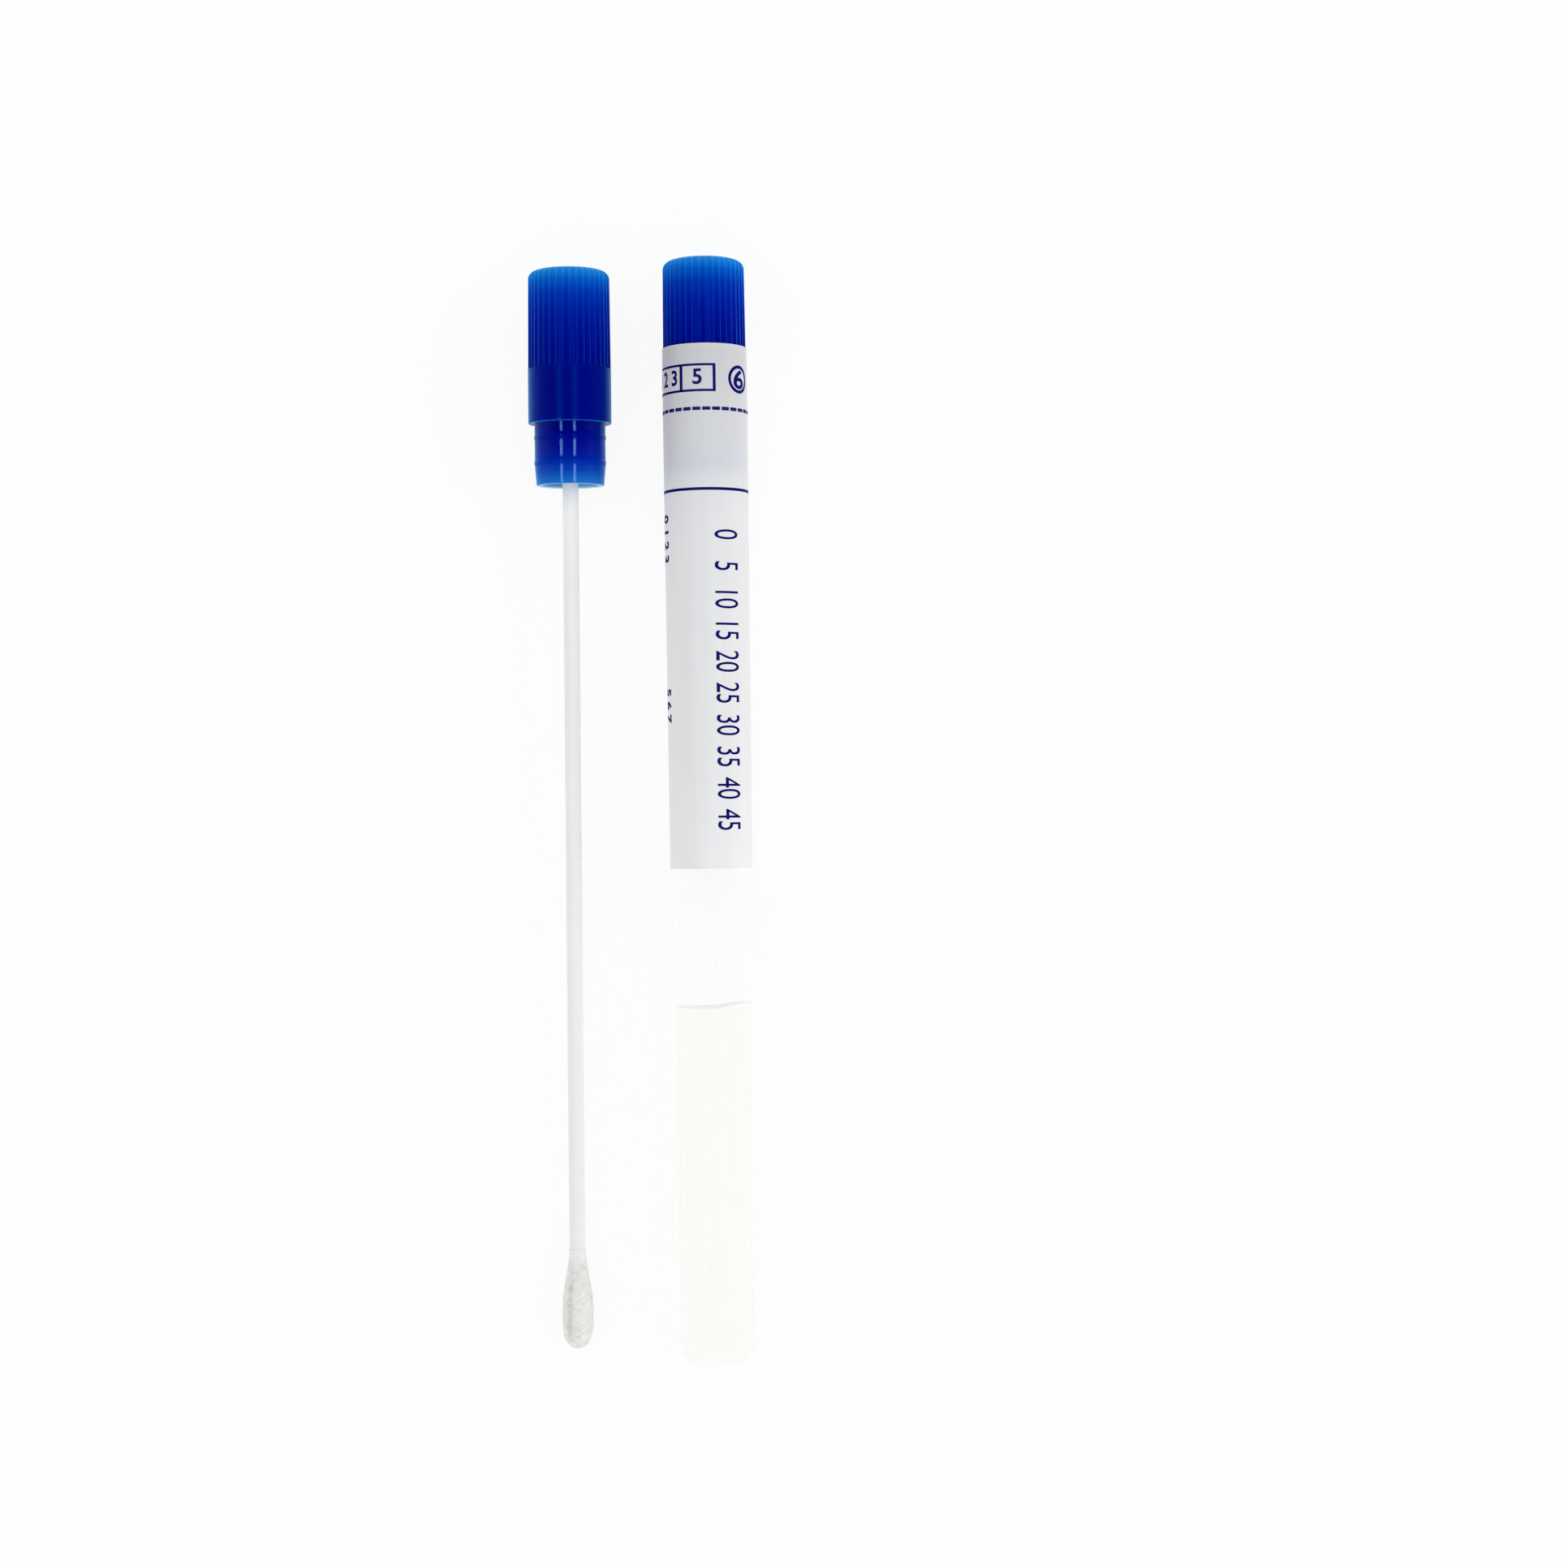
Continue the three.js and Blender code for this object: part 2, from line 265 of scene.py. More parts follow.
class Nodes:
    """A material's node tree, with short calls for the nodes used here."""

    def __init__(self, name):
        self.material = bpy.data.materials.new(name)
        self.material.use_nodes = True
        self.tree = self.material.node_tree
        self.shader = self.tree.nodes["Principled BSDF"]
        self.output = self.tree.nodes["Material Output"]

    def add(self, kind, inputs=(), **settings):
        return add_node(self.tree, kind, inputs, **settings)

    def set(self, **inputs):
        for key, value in inputs.items():
            put(self.tree, self.shader.inputs[key.replace("_", " ")], value)

    def show(self, first, second, share):
        """Shows a mix of two shaders in place of the plain one."""
        mixed = self.add("ShaderNodeMixShader", {0: share, 1: first, 2: second})
        put(self.tree, self.output.inputs[0], mixed.outputs[0])

    def here(self):
        return self.add("ShaderNodeTexCoord").outputs["Object"]

    def attribute(self, name):
        return self.add("ShaderNodeAttribute", attribute_name=name).outputs["Fac"]

    def axial(self, low, high):
        """0 to 1 along the piece's axis between two heights in millimetres."""
        height = self.add("ShaderNodeSeparateXYZ", {0: self.here()}).outputs[1]
        span = {"Value": height, "From Min": low * MM, "From Max": high * MM}
        return self.add("ShaderNodeMapRange", span).outputs[0]

    def fade(self, length, low, high):
        """1 to 0 as a length in metres grows from low to high in millimetres."""
        span = {"Value": length, "From Min": low * MM, "From Max": high * MM, "To Min": 1.0, "To Max": 0.0}
        return self.add("ShaderNodeMapRange", span).outputs[0]

    def bands(self, stops):
        """Colours along the piece's axis, from stops (height in millimetres, colour) low to high."""
        low, high = stops[0][0], stops[-1][0]
        node = self.add("ShaderNodeValToRGB", {0: self.axial(low, high)})
        elements = node.color_ramp.elements
        for height, colour in stops[1:-1]:
            elements.new((height - low) / (high - low)).color = colour
        elements[0].color, elements[-1].color = stops[0][1], stops[-1][1]
        return node.outputs[0]

    def noise(self, scale, detail=3.0, stretch=(1, 1, 1), roughness=0.5):
        """Noise whose features are about 1/scale millimetres across."""
        mapping = {"Vector": self.here(), "Scale": [scale * s / MM for s in stretch]}
        place = self.add("ShaderNodeMapping", mapping).outputs[0]
        inputs = {"Vector": place, "Scale": 1.0, "Detail": detail, "Roughness": roughness}
        return self.add("ShaderNodeTexNoise", inputs).outputs[0]

    def math(self, operation, first, second=0.0):
        return self.add("ShaderNodeMath", {0: first, 1: second}, operation=operation).outputs[0]

    def spread(self, value, low, high):
        """Takes a value of 0 to 1 to low to high."""
        inputs = {"Value": value, "To Min": low, "To Max": high}
        return self.add("ShaderNodeMapRange", inputs).outputs[0]

    def mix(self, share, first, second, blend="MIX"):
        node = self.add("ShaderNodeMix", data_type="RGBA", blend_type=blend)
        for socket, value in ((0, share), (6, first), (7, second)):
            put(self.tree, node.inputs[socket], value)
        return node.outputs[2]

    def bump(self, height, distance, strength=1.0):
        inputs = {"Height": height, "Distance": distance * MM, "Strength": strength}
        return self.add("ShaderNodeBump", inputs).outputs[0]


def srgb(red, green, blue):
    """A display colour of 0 to 255 as the linear colour that shows as it."""

    def linear(value):
        value /= 255
        return value / 12.92 if value <= 0.04045 else ((value + 0.055) / 1.055) ** 2.4

    return (linear(red), linear(green), linear(blue), 1.0)


WHITE = (1, 1, 1, 1)
BLACK = (0, 0, 0, 1)


def plug_shine(n):
    """Broken streaks of gloss along the plug, with a dull band at each bead."""
    near, off = BEAD_HALF + 0.15, BEAD_HALF + 0.3
    stops = [(-PLUG_LENGTH, WHITE)]
    for depth in BEAD_DEPTHS[::-1]:
        stops += [(-depth - off, WHITE), (-depth - near, BLACK)]
        stops += [(-depth + near, BLACK), (-depth + off, WHITE)]
    stops.append((CAP_HEIGHT, WHITE))
    worn = n.spread(n.noise(1.0, 2.0, (0.5, 3.0, 0.5)), 0.35, 1.25)
    facing = n.add("ShaderNodeLayerWeight").outputs["Facing"]
    faced = n.math("POWER", n.math("SUBTRACT", 1.0, facing), 3.0)
    streaks = n.math("MULTIPLY", n.bands(stops), n.math("MULTIPLY", worn, faced))
    return n.math("MULTIPLY", streaks, 0.28)


def blue_plastic():
    """Blue plastic with painted light: lighter toward the thin top and the plug's open end, a pale glow
    inside the mouth, and painted highlights on the rib crests.
    """
    n = Nodes("blue_plastic")
    # Painted light: the blue is painted lighter toward the thin top and the plug's open end, standing in
    # for light that comes through the thin plastic; the dark middle is the plastic's own colour.
    outside = [
        (-PLUG_LENGTH, srgb(30, 112, 198)),
        (-7.65, srgb(3, 64, 178)),
        (-5.8, srgb(0, 27, 157)),
        (-3.9, srgb(0, 10, 142)),
        (-1.35, srgb(0, 0, 128)),
        (6.2, srgb(0, 0, 124)),
        (11.3, srgb(0, 0, 136)),
        (15.0, srgb(0, 10, 148)),
        (17.6, srgb(0, 26, 160)),
        (20.1, srgb(0, 50, 175)),
        (22.0, srgb(3, 88, 196)),
        (23.2, srgb(22, 120, 210)),
        (CAP_HEIGHT, srgb(34, 132, 216)),
    ]
    # Painted light: the inside of the mouth is painted as a pale blue glow, and its end rim almost white,
    # standing in for light that comes through the walls.
    inside = [
        (-PLUG_LENGTH, srgb(238, 247, 255)),
        (-9.36, srgb(110, 205, 255)),
        (-7.67, srgb(84, 184, 255)),
        (-1.25, srgb(10, 70, 170)),
        (CAP_HEIGHT, srgb(0, 20, 140)),
    ]
    body = n.bands(outside)
    # Painted highlight: the rib crests are painted lighter and bluer, as though they catch the light.
    crest = n.mix(1.0, body, (1.0, 1.3, 1.1, 1), "MULTIPLY")
    crest = n.mix(1.0, crest, (0.0, 0.003, 0.012, 1), "ADD")
    colour = n.mix(n.math("POWER", n.attribute("rib"), 4.0), body, crest)
    # The inner faces take the painted glow of the mouth.
    colour = n.mix(n.attribute("inner"), colour, n.bands(inside))
    cloud = n.spread(n.noise(0.25, 2.0), 0.93, 1.07)
    colour = n.mix(1.0, colour, cloud, "MULTIPLY")
    # The plug is polished to seal, and the part that is gripped is left duller.
    gripped = n.axial(-0.57, 0.44)
    plug = n.math("SUBTRACT", 1.0, gripped)
    grain = n.noise(6.0, 4.0)
    dull = n.math("ADD", n.math("MULTIPLY", plug, -0.17), n.spread(grain, 0.22, 0.28))
    n.set(Base_Color=colour, Roughness=dull, IOR=1.5, Specular_IOR_Level=0.038)
    n.set(Specular_Tint=(0.04, 0.4, 1.0, 1))
    n.set(Sheen_Weight=1.0, Sheen_Roughness=0.35, Sheen_Tint=(0.0, 0.5, 1.0, 1))
    n.set(Coat_Weight=n.math("MULTIPLY", plug, plug_shine(n)), Coat_Roughness=0.04)
    n.set(Subsurface_Weight=0.2, Subsurface_Radius=(0.2, 0.5, 1.0), Subsurface_Scale=0.001)
    n.set(Normal=n.bump(n.math("MULTIPLY", grain, gripped), 0.004))
    return n.material


def see_through(n, shadow):
    """Light passes straight through to what lies behind, a little weaker."""
    lamp = n.add("ShaderNodeLightPath").outputs["Is Shadow Ray"]
    through = n.add("ShaderNodeBsdfTransparent", {0: shadow}).outputs[0]
    n.show(n.shader.outputs[0], through, lamp)


# Each row of painted reflection streaks: its place across the tube, the height of one mark, and its pitch.
STREAK_ROWS = ((-1.07, -73.7, 9.9), (0.79, -75.7, 11.3))
STREAK_HALF_GAP = 0.2
STREAK_STRENGTH = 0.12


def rub_marks(n):
    """Two rows of faint broken double lines painted along the top of the tube, where the lamps'
    reflections run: a painted reflection.
    """
    across, along, up = n.add("ShaderNodeSeparateXYZ", {0: n.here()}).outputs
    marks = 0.0
    for row, middle, pitch in STREAK_ROWS:
        beside = n.math("ABSOLUTE", n.math("SUBTRACT", across, row * MM))
        beside = n.math("ABSOLUTE", n.math("SUBTRACT", beside, STREAK_HALF_GAP * MM))
        beyond = n.math("SUBTRACT", along, (middle - pitch / 2) * MM)
        beyond = n.math("FRACT", n.math("MULTIPLY", beyond, 1 / (pitch * MM)))
        beyond = n.math("MULTIPLY", n.math("ABSOLUTE", n.math("SUBTRACT", beyond, 0.5)), pitch * MM)
        mark = n.math("MULTIPLY", n.fade(beside, 0.04, 0.1), n.fade(beyond, 1.5, 2.3))
        marks = n.math("ADD", marks, mark)
    return n.math("MULTIPLY", marks, n.math("GREATER_THAN", up, 0.0))


def clear_plastic():
    """Clear plastic, hardly bending the light, with slight ripples and painted reflection streaks."""
    n = Nodes("clear_plastic")
    clean = n.mix(n.noise(0.4, 3.0, (1, 0.3, 1)), (0.998, 0.998, 0.995, 1), (1.0, 1.0, 0.999, 1))
    # Painted reflection: the streak lines grey the clear colour a little along the top of the tube.
    clean = n.mix(n.math("MULTIPLY", rub_marks(n), STREAK_STRENGTH), clean, (0.8, 0.8, 0.79, 1))
    n.set(Base_Color=clean, Roughness=n.spread(n.noise(0.6, 3.0), 0.0, 0.04), IOR=1.08)
    n.set(Transmission_Weight=1.0, Specular_IOR_Level=0.5)
    n.set(Normal=n.bump(n.noise(0.12, 2.0, (1, 0.3, 1)), 0.02))
    see_through(n, (0.97, 0.97, 0.965, 1))
    return n.material


def gel():
    """Clear gel, very slightly cream, with painted shade on its surface: a grey that stands in for the
    dark line the surface shows edge-on.
    """
    n = Nodes("gel")
    cream = n.mix(n.noise(0.15, 3.0), (0.995, 0.981, 0.956, 1), (0.998, 0.987, 0.965, 1))
    # Painted shade: the gel's surface is greyed, standing in for the dark line the surface shows where it
    # is seen edge-on.
    colour = n.mix(n.attribute("skin"), cream, (0.92, 0.92, 0.925, 1))
    n.set(Base_Color=colour, Roughness=n.spread(n.noise(0.5, 2.0), 0.0, 0.03), IOR=1.0)
    n.set(Transmission_Weight=1.0, Specular_IOR_Level=0.5)
    see_through(n, (0.97, 0.96, 0.94, 1))
    return n.material


def label_film():
    """White film: what lies under it shows a little, blue-grey over the stopper and its plug, and the film
    is painted lighter over the clear tube, where light from below comes through it (painted light).
    """
    n = Nodes("label_film")
    # Painted light: lighter toward the foot, over the clear tube, where light from below comes through the
    # film, and darker over the stopper, where the blue plastic keeps that light out; the blue-grey tint is
    # the blue showing through.
    stops = [
        (LABEL_FOOT, srgb(235, 235, 236)),
        (-56.0, srgb(230, 230, 231)),
        (-37.0, srgb(228, 228, 229)),
        (-17.0, srgb(226, 226, 228)),
        (-11.7, srgb(221, 222, 225)),
        (-9.9, srgb(214, 216, 220)),
        (-8.6, srgb(207, 210, 216)),
        (-3.2, srgb(210, 211, 214)),
        (2.5, srgb(207, 207, 210)),
        (9.2, srgb(201, 201, 204)),
        (BAND_TOP, srgb(206, 206, 208)),
    ]
    mottle = n.spread(n.noise(0.5, 4.0, (1, 0.35, 1)), 0.97, 1.02)
    streaks = n.spread(n.noise(1.3, 3.0, (1, 0.04, 1)), 0.965, 1.035)
    film = n.mix(1.0, n.bands(stops), mottle, "MULTIPLY")
    film = n.mix(1.0, film, streaks, "MULTIPLY")
    n.set(Base_Color=film, IOR=1.45, Specular_IOR_Level=0.14)
    n.set(Sheen_Weight=1.0, Sheen_Roughness=0.4, Sheen_Tint=(0.96, 0.97, 1.0, 1))
    n.set(Roughness=n.spread(n.noise(1.5, 3.0), 0.4, 0.5))
    n.set(Normal=n.bump(n.noise(0.8, 3.0, (1, 0.15, 1)), 0.03))
    return n.material


def navy_ink():
    """Navy ink, a little thinner in places."""
    n = Nodes("navy_ink")
    worn = n.noise(5.0, 3.0)
    ink = n.mix(n.spread(worn, 0.0, 0.3), srgb(0, 0, 98), srgb(14, 10, 116))
    n.set(Base_Color=ink, Roughness=n.spread(worn, 0.4, 0.55), Specular_IOR_Level=0.04)
    return n.material


def white_rod():
    """White plastic with a faint grain along it, painted whitest in the stretch nearest the cap, to make
    up for the cap's shade there (painted light).
    """
    n = Nodes("white_rod")
    body = n.mix(n.noise(0.4, 3.0, (1, 0.1, 1)), srgb(235, 235, 233), srgb(241, 241, 240))
    # Painted light: the stretch nearest the cap is painted whiter, against the shade the cap puts on it.
    n.set(Base_Color=n.mix(n.axial(-24.0, -11.0), body, srgb(250, 250, 251)), IOR=1.48)
    n.set(Roughness=n.spread(n.noise(1.5, 3.0, (1, 0.1, 1)), 0.4, 0.52), Specular_IOR_Level=0.1)
    n.set(Sheen_Weight=0.5, Sheen_Roughness=0.3)
    n.set(Subsurface_Weight=0.2, Subsurface_Radius=(1.0, 1.0, 1.0), Subsurface_Scale=0.0006)
    n.set(Normal=n.bump(n.noise(1.5, 4.0, (1, 0.05, 1)), 0.008))
    return n.material


def fibre():
    """White fibre: loose strands over a duller core, and a stripe of painted shade along the bud."""
    n = Nodes("fibre")
    tuft = n.noise(2.0, 5.0, (1, 0.4, 1))
    core = n.mix(tuft, srgb(238, 237, 234), srgb(245, 244, 241))
    core = n.mix(n.axial(BUD_NECK - 5.0, BUD_NECK - 1.0), core, srgb(238, 238, 237))
    strand = n.mix(tuft, srgb(253, 252, 250), srgb(255, 255, 253))
    tone = n.mix(n.attribute("strand"), core, strand)
    # Painted shade: a greyer stripe along the bud, where the shaft inside it shows as a darker line.
    tone = n.mix(n.attribute("crease"), tone, srgb(228, 227, 222))
    n.set(Base_Color=tone, Roughness=0.9)
    n.set(Sheen_Weight=1.0, Sheen_Roughness=0.5, Specular_IOR_Level=0.1)
    n.set(Normal=n.bump(n.noise(9.0, 4.0, (1, 0.5, 1)), 0.04))
    return n.material


BLUE = blue_plastic()
CLEAR = clear_plastic()
GEL = gel()
WHITE_FILM = label_film()
INK = navy_ink()
ROD = white_rod()
FIBRE = fibre()

# ---------------------------------------------------------------- tube and gel


END_STEPS = 24
RIM_DEPTH = 0.5
RIM_FILLET = 0.15


def tube_bore(clearance):
    """The rounded end of the bore, or of what fills it when the clearance is below zero."""
    wall = TUBE_WALL + clearance
    radius = tube_radius(TUBE_END_RADIUS - TUBE_LENGTH) - wall
    tip = wall - TUBE_LENGTH
    return rounded_end(radius, TUBE_END_RADIUS - wall, tip, TUBE_END_SHARPNESS, END_STEPS)


def make_tube():
    outside = rounded_end(TUBE_END_RADIUS, TUBE_END_RADIUS, -TUBE_LENGTH, TUBE_END_SHARPNESS, END_STEPS)
    bore = TUBE_RADIUS - TUBE_WALL
    rim = rounded(
        [
            (TUBE_RADIUS, -RIM_DEPTH, 0),
            (TUBE_RADIUS, 0, RIM_FILLET),
            (bore, 0, RIM_FILLET),
            (bore, -RIM_DEPTH, 0),
        ]
    )
    line = outside + rim + tube_bore(0)[::-1]
    piece = add_piece("clear_tube", *revolve(line), TUBE_PLACE, CLEAR)
    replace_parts(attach(piece, "tube"), "tube")


def make_gel():
    """The gel has set with its surface a little uneven, higher on one side, and wets the wall."""
    radius = tube_radius(-GEL_DEPTH) - TUBE_WALL + GEL_WETTING
    surface = [
        (radius * share, -GEL_DEPTH + GEL_MENISCUS * share**6)
        for share in (1, 0.98, 0.95, 0.9, 0.82, 0.7, 0.5, 0.25, 0)
    ]
    below = (radius, -GEL_DEPTH + GEL_MENISCUS - GEL_SHADE_BAND)
    points, faces = revolve([*tube_bore(-GEL_WETTING), below, *surface])
    top = points[:, 1] >= -GEL_DEPTH - TINY
    # The surface points carry the painted shade.
    shade_band_at = top & (abs(points[:, 1] - below[1]) > TINY)
    across, up = points[top, 0] / radius, points[top, 2] / radius
    slump = 0.5 - 0.5 * np.tanh((across - 0.35) * 4)
    points[top, 1] += GEL_TILT * up - GEL_UNEVEN * slump * (0.85 + 0.15 * np.sin(3 * up))
    piece = add_piece("set_gel", points, faces, TUBE_PLACE, GEL)
    set_values(piece, "skin", shade_band_at.astype(float))
    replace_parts(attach(piece, "tube"), "transport_medium")


# ---------------------------------------------------------------- caps

# Across one rib and the valley beside it, in shares of the pitch from the rib's middle.
RIB_SIDE = (0.07, 0.13, 0.18, 0.22, 0.26, 0.3, 0.42)
RIB_STATIONS = (*(-share for share in RIB_SIDE[::-1]), 0, *RIB_SIDE)
RIB_FOOT = 0.26
RIB_CREST = 0.11
RIB_CROWN = 0.12
SOCKET_CHAMFER = 0.3
LIP_WIDTH = 0.25
LEDGE_LAP = 0.01


def rib_bump(share):
    """Height of the rib at this share of the pitch from its middle: flat valley, rounded crest."""
    t = min(max((RIB_FOOT - abs(share)) / (RIB_FOOT - RIB_CREST), 0), 1)
    crown = RIB_CROWN * (1 - (min(abs(share), RIB_CREST) / RIB_CREST) ** 2)
    return t * t * (3 - 2 * t) * (1 - RIB_CROWN) + crown


CAP_ANGLES = [(k + share) * TURN / RIBS for k in range(RIBS) for share in RIB_STATIONS]
CAP_BUMPS = [rib_bump(share) for _ in range(RIBS) for share in RIB_STATIONS]


def bead(depth):
    """A rounded sealing bead on the plug."""
    return [
        (PLUG_RADIUS + BEAD_HEIGHT * math.cos(s * math.pi / 2) ** 1.5, -depth + s * BEAD_HALF)
        for s in np.linspace(-1, 1, 9)
    ]


def cap_inside():
    """From the top of the shaft's bore down, over the socket's end, and down the cavity."""
    return [
        (0, CAVITY_TOP, 0),
        (RELIEF_RADIUS, CAVITY_TOP, 0.1),
        (RELIEF_RADIUS, SHAFT_SEAT, 0.05),
        (SOCKET_BORE, SHAFT_SEAT, 0.05),
        (SOCKET_BORE, SOCKET_MOUTH + SOCKET_CHAMFER, 0.05),
        (SOCKET_BORE + SOCKET_CHAMFER, SOCKET_MOUTH, 0.05),
        (SOCKET_RADIUS, SOCKET_MOUTH, 0.12),
        (SOCKET_RADIUS, CAVITY_TOP, 0.3),
        (CAVITY_TOP_RADIUS, CAVITY_TOP, 0.8),
        (CAVITY_RADIUS, -PLUG_LENGTH, 0.12),
        (PLUG_END_RADIUS, -PLUG_LENGTH, 0.22),
        (PLUG_RADIUS, -BEAD_DEPTHS[1] - BEAD_HALF, 0),
    ]


def collar():
    """The smooth collar, from the plug's root to the ledge under the ribs."""
    return rounded(
        [
            (PLUG_RADIUS, -0.6, 0),
            (PLUG_RADIUS, SEAT_GAP, 0.15),
            (TUBE_RADIUS, SEAT_GAP, 0.15),
            (TUBE_RADIUS, COLLAR_HEIGHT, 0.07),
            (TUBE_RADIUS - RIB_INSET - LEDGE_LAP, COLLAR_HEIGHT, 0),
        ]
    )


def head_rings():
    """Each ring of the ribbed head as (base radius, share of the rib's height, height)."""
    base = TUBE_RADIUS - RIB_INSET - RIB_HEIGHT
    straight = CAP_HEIGHT - CAP_EDGE

    def at(y):
        return base - CAP_DRAFT * (y - COLLAR_HEIGHT) / (CAP_HEIGHT - COLLAR_HEIGHT)

    rings = [(at(y), 1.0, y) for y in (COLLAR_HEIGHT, *np.linspace(COLLAR_HEIGHT + 0.1, straight, 8))]
    for turn in np.radians(np.arange(9, 91, 9)):
        radius = at(straight) - CAP_EDGE * (1 - math.cos(turn))
        rings.append((radius, math.cos(turn), straight + CAP_EDGE * math.sin(turn)))
    return rings


def ribbed_circle(radius, height, lift):
    """A ring that stands out at each angle by its lift, a share of the ribs' height."""
    reach = [radius + up * RIB_HEIGHT for up in lift]
    return [(r * math.cos(a), height, r * math.sin(a)) for a, r in zip(CAP_ANGLES, reach)]


def cap_mesh():
    """The whole moulding: points, faces, each point's lift on a rib and whether it is inside, normals."""
    inside = rounded(cap_inside())
    smooth = held(inside + bead(BEAD_DEPTHS[1]) + bead(BEAD_DEPTHS[0]) + collar())
    rim = next(i for i, (radius, _) in enumerate(smooth) if radius > PLUG_END_RADIUS - LIP_WIDTH)
    rings = [circle(radius, height, CAP_ANGLES) for radius, height in smooth]
    lifts = [[0.0] * len(ring) for ring in rings]
    # inner is 1 on the inside of the moulding, which takes the painted glow of the mouth.
    inner = [[1.0 if i < rim else 0.0] * len(ring) for i, ring in enumerate(rings)]
    for radius, share, height in head_rings():
        lift = [bump * share for bump in CAP_BUMPS]
        rings.append(ribbed_circle(radius, height, lift))
        lifts.append(lift)
    flat = head_rings()[-1][0]
    for share in (0.6, 0.2):
        rings.append(circle(flat * share, CAP_HEIGHT, CAP_ANGLES))
        lifts.append([0.0] * len(CAP_ANGLES))
    rings.append([(0.0, CAP_HEIGHT, 0.0)])
    lifts.append([0.0])
    points, faces = skin(rings)
    lifts, inner = sum(lifts, []), sum(inner, [])
    return points, faces, lifts, inner + [0.0] * (len(points) - len(inner)), cap_normals(rings)


def cap_normals(rings):
    """Square to the true round of each ring, and to the longer stretch of outline that meets it."""
    grid = np.array(rings[1:-1])
    angles = np.array(CAP_ANGLES)
    wide = np.concatenate([angles[-2:] - TURN, angles, angles[:2] + TURN])
    radii = np.hypot(grid[:, :, 0], grid[:, :, 2])
    rise = np.gradient(np.concatenate([radii[:, -2:], radii, radii[:, :2]], axis=1), wide, axis=1)[:, 2:-2]
    cos, sin = np.cos(angles), np.sin(angles)
    around = np.stack([rise * cos - radii * sin, 0 * radii, rise * sin + radii * cos], axis=2)
    steps = np.diff(np.array([rings[0] * len(angles), *grid, rings[-1] * len(angles)]), axis=0)
    before, after = steps[:-1], steps[1:]
    longer = np.linalg.norm(before, axis=2) > np.linalg.norm(after, axis=2)
    along = np.where(longer[:, :, None], before, after)
    normals = np.cross(along, around).reshape(-1, 3)
    normals /= np.linalg.norm(normals, axis=1)[:, None]
    return np.concatenate([[(0.0, -1.0, 0.0)], normals, [(0.0, 1.0, 0.0)]])


def make_caps():
    points, faces, lifts, inner, normals = cap_mesh()
    for name, place, body, node in (
        ("stopper_moulding", TUBE_PLACE, "stopper", "tube_stopper"),
        ("swab_cap_moulding", SWAB_PLACE, "tube", "swab_cap"),
    ):
        piece = add_piece(name, points, faces, place, BLUE)
        set_values(piece, "rib", lifts)
        set_values(piece, "inner", inner)
        piece.data.normals_split_custom_set_from_vertices(normals)
        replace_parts(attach(piece, body), node)


# ---------------------------------------------------------------- swab


SHAFT_STEPS = 64
SHAFT_FILLET = 0.2
STRANDS = 300
LOOPS = 1100
STRAND_RADIUS = 0.009
FUZZ = 0.06
CORE_RADIUS = BUD_RADIUS - 0.21
CORE_STEPS = 96
BUD_BORE = SHAFT_RADIUS + 0.015
NECK_WALL = 0.02
# A stripe of painted shade along the bud: its turn round the axis, its half width, and how far it is
# pressed in.
STRIPE_TURN = math.radians(120)
STRIPE_HALF = math.radians(14)
STRIPE_DENT = 0.07


def make_shaft():
    line = rounded(
        [
            (0, SHAFT_END, 0),
            (SHAFT_RADIUS, SHAFT_END, SHAFT_FILLET),
            (SHAFT_RADIUS, SHAFT_TOP, SHAFT_FILLET),
            (0, SHAFT_TOP, 0),
        ]
    )
    piece = add_piece("shaft_rod", *revolve(line, SHAFT_STEPS), SWAB_PLACE, ROD)
    even_normals(piece)
    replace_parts(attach(piece, "tube"), "swab_shaft")


def bud_radius(y):
    """Radius of the firm core of the bud at a height between its tip and its neck."""
    neck = BUD_BORE + NECK_WALL
    above = max(y - BUD_TIP - FUZZ, 0)
    if above < BUD_WIDEST - FUZZ:
        along = 1 - above / (BUD_WIDEST - FUZZ)
        return CORE_RADIUS * max(1 - along**BUD_SHARPNESS, 0) ** (1 / BUD_SHARPNESS)
    share = min((above + FUZZ - BUD_WIDEST) / (BUD_LENGTH - BUD_WIDEST), 1)
    return neck + (CORE_RADIUS - neck) * (1 + math.cos(math.pi * share**1.15)) / 2


def crease(points):
    """How far each point lies in the stripe of painted shade along the bud, a little left of its top,
    which is also pressed in a little.
    """
    off = (np.arctan2(points[:, 2], points[:, 0]) - STRIPE_TURN) / STRIPE_HALF
    above = np.clip((points[:, 1] - BUD_TIP - 1.0) / 2.0, 0, 1)
    below = np.clip((BUD_NECK - 1.0 - points[:, 1]) / 5.0, 0, 1)
    return np.exp(-(off**2)) * above * below


def tube_along(path, radius):
    """A thin three-sided tube along a path."""
    path = np.array(path)
    along = np.gradient(path, axis=0)
    along /= np.linalg.norm(along, axis=1)[:, None]
    out = path * (1, 0, 1)
    out -= along * np.sum(out * along, axis=1)[:, None]
    out /= np.linalg.norm(out, axis=1)[:, None]
    side = np.cross(along, out)
    edges = [path + radius * (out * math.cos(t) + side * math.sin(t)) for t in np.arange(3) * TURN / 3]
    rings = np.stack(edges, axis=1)
    return [[path[0]], *rings[1:-1], [path[-1]]]


def looseness(y):
    """The share of its full lift that a fibre keeps at this height: little of it at the neck."""
    return min(max((BUD_NECK - y) / 7.0, 0.15), 1)


